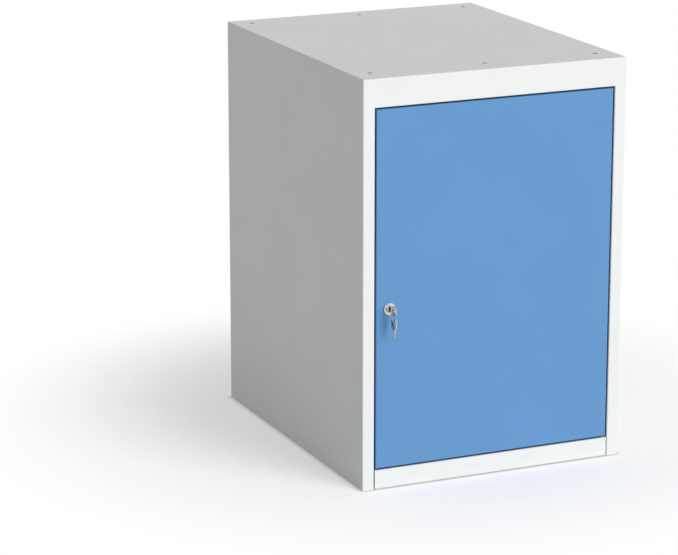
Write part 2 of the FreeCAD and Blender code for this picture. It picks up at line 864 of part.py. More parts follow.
def shelf_clip(label, side, start):
    body = new_body(label)
    under = "shelf_bottom - clip_thick"
    hook_near = "upright_face + sheet + clip_play"
    hook_far = hook_near + " + clip_thick"
    ledge_end = "upright_face - clip_ledge"
    step = [
        (ledge_end, under),
        (hook_far, under),
        (hook_far, "shelf_bottom + clip_hook"),
        (hook_near, "shelf_bottom + clip_hook"),
        (hook_near, "shelf_bottom"),
        (ledge_end, "shelf_bottom"),
    ]
    profile = [("%d * (%s)" % (side, u), v) for u, v in step]
    low = "%s + (upright_wide - slot_wide) / 2 + clip_play" % start
    extrude(body, "XZ_Plane", low, "%s + slot_wide - 2 * clip_play" % low, [profile])
    return body


# Build every sub-part
def build():
    parts = carcass_panels()
    parts += [back_panel(), base_pan(), plinth()]
    parts += [door_panel(), door_stiffener()]
    parts += hinge_plates()
    parts += hinge_end("lower", "plinth_rise", False)
    parts += hinge_end("upper", "open_top", True)
    parts += [door_buffers()]
    parts += [lock_housing(), lock_nut(), lock_plug(), lock_cam(), cam_washer(), cam_screw()]
    parts += keys()
    parts += uprights()
    parts += [shelf(), shelf_clips()]
    return parts


def check(parts):
    doc.recompute()
    for item in doc.Objects:
        if "Invalid" in item.State or "Error" in item.State:
            raise RuntimeError("%s failed: %s" % (item.Label, item.State))
    for part in parts:
        if part.Shape.isNull() or not part.Shape.isValid():
            raise RuntimeError("%s has no valid shape" % part.Label)


def export(parts):
    os.makedirs("parts", exist_ok=True)
    for part in parts:
        part.Shape.exportStep("parts/%s.step" % part.Label)


built = build()
check(built)
export(built)
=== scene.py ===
import json
import math

import bmesh
import bpy
from mathutils import Matrix, Vector


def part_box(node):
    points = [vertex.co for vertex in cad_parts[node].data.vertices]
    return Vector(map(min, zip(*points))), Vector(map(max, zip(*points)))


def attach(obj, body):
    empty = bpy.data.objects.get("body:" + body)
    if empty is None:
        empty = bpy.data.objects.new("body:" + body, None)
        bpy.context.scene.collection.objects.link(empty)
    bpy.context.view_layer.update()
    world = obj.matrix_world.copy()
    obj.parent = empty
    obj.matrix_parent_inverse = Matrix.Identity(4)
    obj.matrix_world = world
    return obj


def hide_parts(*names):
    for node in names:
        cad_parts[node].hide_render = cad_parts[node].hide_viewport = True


# Looks of the storage cabinet: paint, plated lock, keys, hole plugs, and the studio around them.
# Metres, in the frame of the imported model: X to the right, Y to the back, Z up from the floor.

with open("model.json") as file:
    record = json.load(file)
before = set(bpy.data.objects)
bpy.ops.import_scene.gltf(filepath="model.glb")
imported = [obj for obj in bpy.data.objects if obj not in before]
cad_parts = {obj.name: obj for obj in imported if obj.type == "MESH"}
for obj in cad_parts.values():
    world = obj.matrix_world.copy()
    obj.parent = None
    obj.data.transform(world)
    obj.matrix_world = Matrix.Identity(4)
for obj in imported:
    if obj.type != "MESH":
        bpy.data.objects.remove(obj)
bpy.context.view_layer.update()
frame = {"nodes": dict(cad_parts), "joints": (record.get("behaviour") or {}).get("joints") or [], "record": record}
nodes = frame["nodes"]
mounts = {mount["name"]: mount for mount in frame["record"]["mounts"]}
joints = {joint["name"]: joint for joint in frame["joints"]}

MM = 0.001

# Colours as eight-bit screen values.
BODY_GREY = (228, 230, 229)
DOOR_BLUE = (96, 145, 194)
PLUG_BLUE = (4, 50, 132)
CHROME = (218, 219, 221)
NICKEL = (212, 210, 204)
RING_STEEL = (186, 187, 189)
ZINC = (178, 182, 184)
NYLON = (38, 42, 48)
RUBBER = (26, 26, 27)
# Grey-blue of the strips that stand in for the shade in the door gap: painted shade.
GAP_SHADE_GREY = (98, 110, 130)
# Near-black of the painted shade on the walls of the keys' bow holes.
HOLE_SHADE = (14, 15, 17)
FLOOR = (222, 222, 222)
WHITE = (255, 255, 255)

# Light: share of the white background that lights the object, and the key lamp.
AMBIENT = 0.415
KEY_STRENGTH = 2.66
KEY_SPREAD = math.radians(40)
KEY_FROM = Vector((0.45, -0.88, 0.27))

# Floor as the camera sees it: glow under the shade, and where it fades to plain white.
# Inside the fade even the lit floor stays a little below white: a painted shade round the
# cabinet's base, centred a little behind the cabinet's middle.
FLOOR_GLOW = 0.305
FLOOR_SHADE = (0.87, 0.862, 0.852, 1)
FLOOR_FADE = (0.34, 0.86)
FLOOR_CENTRE = (0.02, 0.08, 0)
FLOOR_HALF = 30.0

# Thin shade where the cabinet's edges meet the floor.
CONTACT_REACH = 0.012
CONTACT_LEVEL = 0.4
OPEN_AT_WALL = 0.5

# Camera at the photograph's viewing angle.
CAMERA_AZIMUTH = math.radians(-24.11)
CAMERA_ELEVATION = math.radians(15.085)
CAMERA_AIM = Vector((-0.17, -0.023, 0.304))
CAMERA_DISTANCE = 5.295
CAMERA_LENS = 157.4
SENSOR = 36.0


def linear(colour):
    """Scene-linear colour of an eight-bit screen colour."""
    shares = [c / 255 for c in colour]
    light = [s / 12.92 if s <= 0.04045 else ((s + 0.055) / 1.055) ** 2.4 for s in shares]
    return tuple(light) + (1.0,)


def shaded(colour, share):
    """A linear colour made darker or lighter by a share."""
    return tuple(c * share for c in colour[:3]) + (1.0,)


# Node helpers.
NOISE_MIDDLE = (0.3, 0.7)
MIX_FACTOR, MIX_FIRST, MIX_SECOND, MIX_COLOUR = 0, 6, 7, 2


def new_material(name):
    material = bpy.data.materials.new(name)
    material.use_nodes = True
    tree = material.node_tree
    return material, tree, tree.nodes["Principled BSDF"]


def place(tree):
    """Texture coordinates in the object's own metres."""
    return tree.nodes.new("ShaderNodeTexCoord").outputs["Object"]


def noise(tree, scale, detail, stretch=(1, 1, 1)):
    """Noise over the surface, from 0 to 1, with about scale grains per metre."""
    mapping = tree.nodes.new("ShaderNodeMapping")
    mapping.inputs["Scale"].default_value = stretch
    tree.links.new(place(tree), mapping.inputs["Vector"])
    texture = tree.nodes.new("ShaderNodeTexNoise")
    texture.inputs["Scale"].default_value = scale
    texture.inputs["Detail"].default_value = detail
    tree.links.new(mapping.outputs["Vector"], texture.inputs["Vector"])
    return texture.outputs["Fac"]


def map_range(tree, value, start, end):
    """Map range node for a value that goes from start to end, to 0 and 1 unless changed."""
    span = tree.nodes.new("ShaderNodeMapRange")
    span.inputs["From Min"].default_value = start
    span.inputs["From Max"].default_value = end
    tree.links.new(value, span.inputs["Value"])
    return span


def spread(tree, value, low, high):
    """The middle of a noise's range brought to low and high."""
    span = map_range(tree, value, *NOISE_MIDDLE)
    span.inputs["To Min"].default_value = low
    span.inputs["To Max"].default_value = high
    return span.outputs["Result"]


def tones(tree, value, low, high):
    """Colour between two tones, by a noise."""
    ramp = tree.nodes.new("ShaderNodeValToRGB")
    for element, position, colour in zip(ramp.color_ramp.elements, NOISE_MIDDLE, (low, high)):
        element.position = position
        element.color = colour
    tree.links.new(value, ramp.inputs["Fac"])
    return ramp.outputs["Color"]


def clouded(tree, shader, colour, scale, shares):
    """Base colour in faint clouds, between two shares of it."""
    low, high = (shaded(linear(colour), share) for share in shares)
    clouds = noise(tree, scale, CLOUD_DETAIL)
    tree.links.new(tones(tree, clouds, low, high), shader.inputs["Base Color"])


def bump(tree, shader, height, relief):
    """Relief on the surface: its depth in metres, and the strength."""
    node = tree.nodes.new("ShaderNodeBump")
    node.inputs["Distance"].default_value, node.inputs["Strength"].default_value = relief
    tree.links.new(height, node.inputs["Height"])
    tree.links.new(node.outputs["Normal"], shader.inputs["Normal"])


def vector_math(tree, operation, vector, other=None):
    node = tree.nodes.new("ShaderNodeVectorMath")
    node.operation = operation
    tree.links.new(vector, node.inputs[0])
    if other:
        node.inputs[1].default_value = other
    return node.outputs


# Materials. Clouds, grain and peel are in grains per metre.
CLOUD_DETAIL = 3
PAINT_SPECULAR = 0.35
PAINT_CLOUDS, PAINT_GRAIN, PAINT_PEEL = 9, 160, 900
PAINT_GRAIN_DETAIL, PAINT_PEEL_DETAIL = 2, 1
PAINT_TONES = (0.985, 1.015)
PAINT_ROUGH = (0.42, 0.5)
PAINT_RELIEF = (0.04 * MM, 0.6)
PLATE_CLOUDS, PLATE_GRAIN = 120, 700
PLATE_GRAIN_DETAIL = 3
PLATE_TONES = (0.93, 1.04)
PLATE_ROUGH = (0.8, 1.3)
PLATE_RELIEF = (0.03 * MM, 0.35)
MOULD_CLOUDS, MOULD_GRAIN = 90, 1500
MOULD_GRAIN_DETAIL = 2
MOULD_TONES = (0.92, 1.06)
MOULD_ROUGH = (0.9, 1.1)
MOULD_RELIEF = (0.04 * MM, 0.5)
DRAWN_ALONG_KEY = (1, 0.1, 1)


def powder_coat(name, colour):
    """Satin powder coat: faint clouds in the colour, and the fine orange peel of baked powder."""
    material, tree, shader = new_material(name)
    shader.inputs["Specular IOR Level"].default_value = PAINT_SPECULAR
    clouded(tree, shader, colour, PAINT_CLOUDS, PAINT_TONES)
    grain = noise(tree, PAINT_GRAIN, PAINT_GRAIN_DETAIL)
    tree.links.new(spread(tree, grain, *PAINT_ROUGH), shader.inputs["Roughness"])
    bump(tree, shader, noise(tree, PAINT_PEEL, PAINT_PEEL_DETAIL), PAINT_RELIEF)
    return material


def plated(name, colour, rough, stretch=(1, 1, 1)):
    """Plated metal: clouded colour, with grain in its roughness and a trace of it in relief."""
    material, tree, shader = new_material(name)
    shader.inputs["Metallic"].default_value = 1.0
    clouded(tree, shader, colour, PLATE_CLOUDS, PLATE_TONES)
    grain = noise(tree, PLATE_GRAIN, PLATE_GRAIN_DETAIL, stretch)
    low, high = (rough * share for share in PLATE_ROUGH)
    tree.links.new(spread(tree, grain, low, high), shader.inputs["Roughness"])
    bump(tree, shader, grain, PLATE_RELIEF)
    return material


def moulded(name, colour, rough):
    """Moulded plastic or rubber with a fine eroded grain."""
    material, tree, shader = new_material(name)
    clouded(tree, shader, colour, MOULD_CLOUDS, MOULD_TONES)
    grain = noise(tree, MOULD_GRAIN, MOULD_GRAIN_DETAIL)
    low, high = (rough * share for share in MOULD_ROUGH)
    tree.links.new(spread(tree, grain, low, high), shader.inputs["Roughness"])
    bump(tree, shader, grain, MOULD_RELIEF)
    return material


MATERIALS = {
    "body_paint": powder_coat("body_paint_coat", BODY_GREY),
    "door_paint": powder_coat("door_paint_coat", DOOR_BLUE),
    "zinc": plated("zinc_plate", ZINC, rough=0.3),
    "nylon": moulded("nylon_black", NYLON, rough=0.45),
    "lock_chrome": plated("lock_chrome_plate", CHROME, rough=0.12),
    "key_nickel": plated("key_nickel_plate", NICKEL, rough=0.24, stretch=DRAWN_ALONG_KEY),
    "ring_steel": plated("ring_steel_wire", RING_STEEL, rough=0.2),
    "buffer_rubber": moulded("buffer_rubber_black", RUBBER, rough=0.7),
}
PLUG_PLASTIC = moulded("plug_plastic_blue", PLUG_BLUE, rough=0.4)
# The dark strips in the door gap are painted shade.
GAP_SHADE_MATERIAL = moulded("gap_shade_strip_grey", GAP_SHADE_GREY, rough=0.7)

for part in frame["record"]["subparts"]:
    mesh = nodes[part["node"]].data
    mesh.materials.clear()
    mesh.materials.append(MATERIALS[part["material_slot"]])


# Rounded edges on the small turned, stamped and moulded nodes: width in millimetres.
EDGE_ROUND = {
    "lock_housing": 0.2,
    "lock_plug": 0.12,
    "lock_nut": 0.35,
    "lock_cam": 0.25,
    "cam_washer": 0.15,
    "cam_screw": 0.35,
    "shelf_clips": 0.3,
    "door_buffers": 0.4,
    "lower_hinge_pin": 0.4,
    "upper_hinge_pin": 0.4,
    "lower_hinge_bush": 0.3,
    "upper_hinge_bush": 0.3,
    "lower_hinge_plate": 0.2,
    "upper_hinge_plate": 0.2,
}
EDGE_SEGMENTS = 2
SAME_POINT = 0.001 * MM
FLAT_ANGLE = math.radians(1)
EDGE_ANGLE = math.radians(30)


def round_edges(node, width):
    """Join the node's split points, merge its flat triangles and round its edges."""
    weld = node.modifiers.new("weld", "WELD")
    weld.merge_threshold = SAME_POINT
    flatten = node.modifiers.new("flatten", "DECIMATE")
    flatten.decimate_type = "DISSOLVE"
    flatten.angle_limit = FLAT_ANGLE
    bevel = node.modifiers.new("edge", "BEVEL")
    bevel.width = width * MM
    bevel.segments = EDGE_SEGMENTS
    bevel.limit_method = "ANGLE"
    bevel.angle_limit = EDGE_ANGLE
    bevel.harden_normals = True


for node_name, edge_width in EDGE_ROUND.items():
    round_edges(nodes[node_name], edge_width)


# Mesh helpers. A piece's mesh is in its own frame, in metres. Its matrix puts it in the cabinet.

def add_piece(name, work, material, body, matrix):
    bmesh.ops.recalc_face_normals(work, faces=work.faces)
    for face in work.faces:
        face.smooth = True
    mesh = bpy.data.meshes.new(name)
    work.to_mesh(mesh)
    work.free()
    mesh.set_sharp_from_angle(angle=EDGE_ANGLE)
    mesh.materials.append(material)
    piece = bpy.data.objects.new(name, mesh)
    bpy.context.scene.collection.objects.link(piece)
    piece.matrix_world = matrix
    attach(piece, body)
    return piece


def bridge(work, rings):
    """Quads between rings of points, with triangles where a ring is a single point."""
    for low, high in zip(rings, rings[1:]):
        for i in range(len(low)):
            j = (i + 1) % len(low)
            work.faces.new(list(dict.fromkeys((low[i], low[j], high[j], high[i]))))


def lathe(work, profile, steps, at=Vector()):
    """Closed solid turned about Z: profile of radius and height, from the axis to the axis."""
    rings = []
    for radius, height in profile:
        if radius == 0:
            rings.append([work.verts.new(at + Vector((0, 0, height)))] * steps)
            continue
        turns = [2 * math.pi * i / steps for i in range(steps)]
        spots = [Vector((radius * math.cos(t), radius * math.sin(t), height)) for t in turns]
        rings.append([work.verts.new(at + spot) for spot in spots])
    bridge(work, rings)


def arc(centre, radius, start, end, steps):
    """Points on an arc, both ends included. Angles in degrees."""
    turns = [math.radians(start + (end - start) * i / steps) for i in range(steps + 1)]
    u, v = centre
    return [Vector((u + radius * math.cos(t), v + radius * math.sin(t))) for t in turns]


def rounded_box(u_low, u_high, v_low, v_high, radius, steps):
    """Anticlockwise outline of a rectangle with round corners."""
    near, far = u_low + radius, u_high - radius
    low, high = v_low + radius, v_high - radius
    corners = (((far, high), 0), ((near, high), 90), ((near, low), 180), ((far, low), 270))
    points = []
    for centre, start in corners:
        points += arc(centre, radius, start, start + 90, steps)
    return points


def left_of(way):
    """Unit vector to the left of a way in the plane."""
    return Vector((-way.y, way.x)).normalized()


def inset(loop, amount):
    """The loop moved to its left by an amount, with mitred corners."""
    moved = []
    for before, here, after in zip(loop[-1:] + loop[:-1], loop, loop[1:] + loop[:1]):
        one = left_of(here - before)
        two = left_of(after - here)
        moved.append(here + (one + two) * (amount / (1 + one.dot(two))))
    return moved


def ring_of(work, loop, height):
    """Vertices of a loop of points in YZ, at a height along X, all in millimetres."""
    return [work.verts.new(Vector((height, u, v)) * MM) for u, v in loop]


def edges_of(work, ring):
    pairs = list(zip(ring, ring[1:] + ring[:1]))
    return [work.edges.get(pair) or work.edges.new(pair) for pair in pairs]


def plate(work, outline, holes, thick, chamfer, pockets=((), ())):
    """Flat plate in YZ with chamfered edges, holes, and a list of pocket loops for each face."""
    half = thick / 2
    levels = ((chamfer, -half), (0, chamfer - half), (0, half - chamfer), (chamfer, half))
    stacks = []
    for loop in [outline] + [list(reversed(hole)) for hole in holes]:
        rings = [ring_of(work, inset(loop, amount), height) for amount, height in levels]
        bridge(work, rings)
        stacks.append(rings)
    for end, side in ((0, -1), (-1, 1)):
        edges = []
        for rings in stacks:
            edges += edges_of(work, rings[end])
        for loop, deep, slope in pockets[max(side, 0)]:
            rim = ring_of(work, loop, side * half)
            floor = ring_of(work, inset(loop, slope), side * (half - deep))
            bridge(work, [rim, floor])
            work.faces.new(floor)
            edges += edges_of(work, rim)
        bmesh.ops.triangle_fill(work, use_beauty=True, use_dissolve=False, edges=edges)


# Plugs in the fixing holes, pressed in from below and flush with the top.
SHEET = 1 * MM
PLUG_STEPS = 40
PLUG_PLAY = 0.05 * MM
PLUG_SUNK = 0.12 * MM
PLUG_ROUND = 0.35 * MM
PLUG_MID_ROUND = 0.3 * PLUG_ROUND
PLUG_FLANGE = 2 * MM
PLUG_FLANGE_TALL = 1.2 * MM
PLUG_WALL = 0.9 * MM
PLUG_CUP_DEEP = 1.4 * MM
PLUG_TALL = 7 * MM
COLUMN_NAMES = {-0.5: "left", 0: "middle", 0.5: "right"}
ROW_NAMES = {-0.5: "front", 0.5: "rear"}
PATTERN_COLUMNS = {"worktop_corners": (-0.5, 0.5), "worktop_middle": (0,)}


def hole_plug(name, centre, radius):
    boss = radius - PLUG_PLAY
    flange = boss + PLUG_FLANGE
    cup = boss - PLUG_WALL
    profile = [
        (0, -PLUG_SUNK),
        (boss - PLUG_ROUND, -PLUG_SUNK),
        (boss - PLUG_MID_ROUND, -PLUG_SUNK - PLUG_MID_ROUND),
        (boss, -PLUG_SUNK - PLUG_ROUND),
        (boss, -SHEET),
        (flange, -SHEET),
        (flange, -SHEET - PLUG_FLANGE_TALL),
        (boss, -SHEET - PLUG_FLANGE_TALL),
        (boss, -PLUG_TALL),
        (cup, -PLUG_TALL),
        (cup, -PLUG_CUP_DEEP),
        (0, -PLUG_CUP_DEEP),
    ]
    work = bmesh.new()
    lathe(work, profile, PLUG_STEPS)
    add_piece(name, work, PLUG_PLASTIC, "carcass", Matrix.Translation(centre))


def hole_plugs():
    for label, columns in PATTERN_COLUMNS.items():
        centre = Vector(mounts[label]["pos_m"])
        dims = mounts[label]["dims"]
        for column in columns:
            for row in ROW_NAMES:
                across = column * dims.get("spacing_x_mm", 0)
                step = Vector((across, row * dims["spacing_y_mm"], 0)) * MM
                name = "hole_plug_%s_%s" % (ROW_NAMES[row], COLUMN_NAMES[column])
                hole_plug(name, centre + step, dims["hole_r_mm"] * MM)


hole_plugs()


# Keys: chamfered plates with a holed bow, and a notched blade with a milled groove on each face.
# Millimetres along the key from the lock's face, and across it.
KEY_THICK = 2
KEY_CHAMFER = 0.2
BOW_FAR, BOW_NEAR = -26.5, -6.5
BOW_HALF = 8.5
BOW_ROUND = 7
BOW_FAR_STEPS, BOW_NEAR_STEPS = 12, 10
BOW_HOLE = (-22, -14, -4, 4)
BOW_HOLE_ROUND = 3.9
BOW_HOLE_STEPS = 8
BLADE_END = 8.5
BLADE_HALF = 4
BLADE_TIP = 2
NOTCHES = (-0.5, 2.3, 5.1)
NOTCH_HALF = 1.1
NOTCH_DEEP = 1.3
GROOVE_ALONG = (-5.4, 7)
GROOVE_ACROSS = (0.75, 2.25)
GROOVE_ROUND = 0.4
GROOVE_STEPS = 4
GROOVE_DEEP = 0.5
GROOVE_SLOPE = -0.25
SPARE_HANG = (-90, 4)
SPARE_HOLE_ABOVE_PIN = 1.5
# Distances from the bow hole's axis, in metres, over which its wall turns to painted shade.
HOLE_SHADE_EDGE = (4.1 * MM, 4.35 * MM)
LOCK_AT = Vector(joints["lock_turn"]["pos_m"])
SPARE_PIN = Vector(joints["spare_key_swing"]["pos_m"])


def blade_edge():
    """The blade's upper edge from the bow to the tip, and the angle at which the bow meets it."""
    rise = BLADE_HALF - (BOW_HALF - BOW_ROUND)
    reach = math.sqrt(BOW_ROUND ** 2 - rise ** 2)
    points = [(BOW_NEAR - BOW_ROUND + reach, BLADE_HALF)]
    for middle in NOTCHES:
        points.append((middle - NOTCH_HALF, BLADE_HALF))
        points.append((middle, BLADE_HALF - NOTCH_DEEP))
        points.append((middle + NOTCH_HALF, BLADE_HALF))
    points.append((BLADE_END - BLADE_TIP, BLADE_HALF))
    points.append((BLADE_END, BLADE_HALF - BLADE_TIP))
    return points, math.degrees(math.asin(rise / BOW_ROUND))


def key_outline():
    upper, meets = blade_edge()
    outline = [Vector((u, -v)) for u, v in upper] + [Vector(point) for point in reversed(upper)]
    near, far = BOW_NEAR - BOW_ROUND, BOW_FAR + BOW_ROUND
    high = BOW_HALF - BOW_ROUND
    outline += arc((near, high), BOW_ROUND, meets, 90, BOW_NEAR_STEPS)[1:]
    outline += arc((far, high), BOW_ROUND, 90, 180, BOW_FAR_STEPS)
    outline += arc((far, -high), BOW_ROUND, 180, 270, BOW_FAR_STEPS)
    outline += arc((near, -high), BOW_ROUND, 270, 360 - meets, BOW_NEAR_STEPS)[:-1]
    return outline


def shade_hole_wall(material):
    """Painted shade that blackens the wall of the bow's hole, by the distance from the hole's axis."""
    tree = material.node_tree
    colour = tree.nodes["Principled BSDF"].inputs["Base Color"]
    unshaded = colour.links[0].from_socket
    axis = (0, (BOW_HOLE[0] + BOW_HOLE[1]) / 2 * MM, 0)
    from_axis = vector_math(tree, "SUBTRACT", place(tree), axis)["Vector"]
    across = vector_math(tree, "MULTIPLY", from_axis, (0, 1, 1))["Vector"]
    edge = map_range(tree, vector_math(tree, "LENGTH", across)["Value"], *HOLE_SHADE_EDGE)
    mix = tree.nodes.new("ShaderNodeMix")
    mix.data_type = "RGBA"
    tree.links.new(edge.outputs["Result"], mix.inputs[MIX_FACTOR])
    mix.inputs[MIX_FIRST].default_value = linear(HOLE_SHADE)
    tree.links.new(unshaded, mix.inputs[MIX_SECOND])
    tree.links.new(mix.outputs[MIX_COLOUR], colour)


def key(name, body, matrix, node):
    near, far = GROOVE_ACROSS
    upper = rounded_box(*GROOVE_ALONG, near, far, GROOVE_ROUND, GROOVE_STEPS)
    lower = rounded_box(*GROOVE_ALONG, -far, -near, GROOVE_ROUND, GROOVE_STEPS)
    grooves = [[(list(reversed(loop)), GROOVE_DEEP, GROOVE_SLOPE)] for loop in (upper, lower)]
    hole = rounded_box(*BOW_HOLE, BOW_HOLE_ROUND, BOW_HOLE_STEPS)
    work = bmesh.new()
    plate(work, key_outline(), [hole], KEY_THICK, KEY_CHAMFER, grooves)
    piece = add_piece(name, work, MATERIALS["key_nickel"], body, matrix)
    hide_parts(node)


def keys():
    # Painted shade on the walls of the keys' bow holes.
    shade_hole_wall(MATERIALS["key_nickel"])
    key("key_in_lock", "key", Matrix.Translation(LOCK_AT), "key")
    tilt, face = (math.radians(angle) for angle in SPARE_HANG)
    hang = Matrix.Rotation(face, 4, "Z") @ Matrix.Rotation(tilt, 4, "X")
    pin = Vector((0, BOW_HOLE[0] + SPARE_HOLE_ABOVE_PIN, 0)) * MM
    on_ring = Matrix.Translation(SPARE_PIN) @ hang @ Matrix.Translation(-pin)
    key("key_on_ring", "spare_key", on_ring, "spare_key")


keys()


# Split ring: two turns of flat wire that step across each other between the wire's two ends.
RING_RADIUS = 8 * MM
RING_TURN = math.radians(45)
RING_TOP = Vector(joints["ring_swing"]["pos_m"])
WIRE_THICK = 1.2 * MM
WIRE_WIDE = 0.62 * MM
WIRE_ROUND = 0.14 * MM
WIRE_ROUND_STEPS = 2
WIRE_PITCH = 0.68 * MM
WIRE_STEPS = 160
STEP_SHARE = 0.045
STEP_AT = 0.42


def wire_section():
    """Outline of the flat wire: across the ring's radius, then along its axis."""
    half_thick, half_wide = WIRE_THICK / 2, WIRE_WIDE / 2
    return rounded_box(
        -half_thick, half_thick, -half_wide, half_wide, WIRE_ROUND, WIRE_ROUND_STEPS
    )


def step_across(turn):
    """Place of the wire along the ring's axis, after some turns: it steps over near the first."""
    share = min(max((turn - 1 + STEP_SHARE) / (2 * STEP_SHARE), 0), 1)
    return (share * share * (3 - 2 * share) - 0.5) * WIRE_PITCH


def split_ring():
    work = bmesh.new()
    section = wire_section()
    rings = []
    for i in range(WIRE_STEPS + 1):
        turn = STEP_SHARE + (2 - 2 * STEP_SHARE) * i / WIRE_STEPS
        across = step_across(turn)
        angle = 2 * math.pi * (turn + STEP_AT)
        outwards = Vector((math.cos(angle), 0, math.sin(angle)))
        ring = []
        for radial, axial in section:
            spot = outwards * (RING_RADIUS + radial) + Vector((0, across + axial, 0))
            ring.append(work.verts.new(spot))
        rings.append(ring)
    bridge(work, rings)
    work.faces.new(rings[0])
    work.faces.new(rings[-1])
    centre = RING_TOP - Vector((0, 0, RING_RADIUS))
    matrix = Matrix.Translation(centre) @ Matrix.Rotation(RING_TURN, 4, "Z")
    steel = MATERIALS["ring_steel"]
    piece = add_piece("split_ring", work, steel, "key_ring", matrix)
    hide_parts("key_ring")


split_ring()


# Painted shade at the keyway: a thin dark insert on the plug's face, round the keyway,
# that stands in for the shade in the keyway's mouth. Millimetres.
SHADE_INSERT_HALF = (3, 5.2)
SHADE_INSERT_ROUND = 2.99
SHADE_INSERT_STEPS = 14
SHADE_INSERT_SLOT = (1.2, 4.2)
SHADE_INSERT_SLOT_ROUND = 0.3
SHADE_INSERT_SLOT_STEPS = 3
SHADE_INSERT_THICK = 0.34
SHADE_INSERT_CHAMFER = 0.1


def keyway_shade_insert():
    wide, tall = SHADE_INSERT_HALF
    slot_wide, slot_tall = SHADE_INSERT_SLOT
    lying = rounded_box(-tall, tall, -wide, wide, SHADE_INSERT_ROUND, SHADE_INSERT_STEPS)
    outline = [Vector((v, u)) for u, v in reversed(lying)]
    slot = rounded_box(
        -slot_wide, slot_wide, -slot_tall, slot_tall, SHADE_INSERT_SLOT_ROUND, SHADE_INSERT_SLOT_STEPS
    )
    work = bmesh.new()
    plate(work, outline, [slot], SHADE_INSERT_THICK, SHADE_INSERT_CHAMFER)
    plug_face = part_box("lock_plug")[0].y
    centre = Vector((LOCK_AT.x, plug_face - SHADE_INSERT_THICK / 2 * MM, LOCK_AT.z))
    matrix = Matrix.Translation(centre) @ Matrix.Rotation(math.radians(-90), 4, "Z")
    add_piece("keyway_shade_insert", work, MATERIALS["nylon"], "lock_core", matrix)


keyway_shade_insert()


# Thread on the lock's barrel, behind the nut, cut off at the barrel's two flats. Millimetres.
THREAD_PITCH = 1
THREAD_ROOT = 9.2
THREAD_CREST = 9.55
THREAD_ROOT_HALF = 0.45
THREAD_CREST_HALF = 0.08
THREAD_STEPS = 14
BARREL_FLAT = 8


def thread_ridge(work, start, facing):
    """One rib across a round side of the barrel: facing is 0 right and half a turn left."""
    section = (
        (THREAD_ROOT, -THREAD_ROOT_HALF),
        (THREAD_CREST, -THREAD_CREST_HALF),
        (THREAD_CREST, THREAD_CREST_HALF),
        (THREAD_ROOT, THREAD_ROOT_HALF),
    )
    rings = []
    for i in range(THREAD_STEPS + 1):
        share = 2 * i / THREAD_STEPS - 1
        ring = []
        for radius, along in section:
            turn = share * math.asin(BARREL_FLAT / radius)
            rise = start + along + THREAD_PITCH * turn / (2 * math.pi)
            angle = facing + turn
            spot = Vector((radius * math.cos(angle), rise, radius * math.sin(angle)))
            ring.append(work.verts.new(spot * MM))
        rings.append(ring)
    bridge(work, rings)
    work.faces.new(rings[0])
    work.faces.new(rings[-1])


def barrel_thread():
    work = bmesh.new()
    first = (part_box("lock_nut")[1].y - LOCK_AT.y) / MM + THREAD_PITCH
    last = (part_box("lock_housing")[1].y - LOCK_AT.y) / MM - THREAD_PITCH
    for number in range(int((last - first) / THREAD_PITCH * 2) + 1):
        thread_ridge(work, first + number * THREAD_PITCH / 2, number % 2 * math.pi)
    chrome = MATERIALS["lock_chrome"]
    add_piece("lock_thread", work, chrome, "door", Matrix.Translation(LOCK_AT))


barrel_thread()


# Spot welds: shallow rings left by the electrodes, painted over. Profile in millimetres.
WELD_STEPS = 20
WELD_PROFILE = ((0, 0.02), (1.7, 0.02), (2.2, 0.1), (2.7, 0.13), (3.2, 0), (3.2, -0.2), (0, -0.2))
WELD_PITCH = 80 * MM
WELD_END = 25 * MM
FACING_BACK = (math.radians(-90), 4, "X")
FACING_FRONT = (math.radians(90), 4, "X")
HAT_FLANGE = 7 * MM
REAR_FLANGE = 8 * MM


def spots_between(low, high):
    count = round((high - low - 2 * WELD_END) / WELD_PITCH)
    step = (high - low - 2 * WELD_END) / count
    return [low + WELD_END + i * step for i in range(count + 1)]


def spot_welds(name, places, facing, slot, body):
    """Marks at places on a face; facing turns Z to the way that the face looks."""
    work = bmesh.new()
    turn = Matrix.Rotation(*facing)
    back = turn.inverted()
    profile = [(radius * MM, height * MM) for radius, height in WELD_PROFILE]
    for spot in places:
        lathe(work, profile, WELD_STEPS, back @ spot)
    add_piece(name, work, MATERIALS[slot], body, turn)


def weld_marks():
    low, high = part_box("door_stiffener")
    flange_face = low.y + SHEET
    columns = (low.x + HAT_FLANGE, high.x - HAT_FLANGE)
    heights = spots_between(low.z, high.z)
    spots = [Vector((x, flange_face, z)) for x in columns for z in heights]
    spot_welds("stiffener_welds", spots, FACING_BACK, "door_paint", "door")
    low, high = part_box("back_panel")
    columns = (low.x + REAR_FLANGE, high.x - REAR_FLANGE)
    heights = spots_between(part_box("base_pan")[1].z, high.z)
    spots = [Vector((x, low.y, z)) for x in columns for z in heights]
    spots += [Vector((x, low.y, high.z - REAR_FLANGE)) for x in spots_between(*columns)]
    spot_welds("back_welds", spots, FACING_FRONT, "body_paint", "carcass")


weld_marks()


# Painted shade in the door gap: dark ribbed strips on the returns round the door opening,
# short of the hinge pins, that stand in for the shade seen in the gap.
# Section in millimetres: across the strip, and off the return.
GAP_STRIP_SECTION = (
    (-5.5, 0), (5.5, 0), (5.5, 0.2), (4.9, 0.5), (3.1, 0.5), (2.6, 0.25), (1.4, 0.25), (0.9, 0.5),
    (-0.9, 0.5), (-1.4, 0.25), (-2.6, 0.25), (-3.1, 0.5), (-4.9, 0.5), (-5.5, 0.2),
)
DOOR_GAP = 3 * MM
GAP_STRIP_BACK = 8.3 * MM
GAP_STRIP_STEP = 25 * MM
GAP_STRIP_END = 2 * MM
GAP_STRIP_PIN_CLEAR = 0.5 * MM


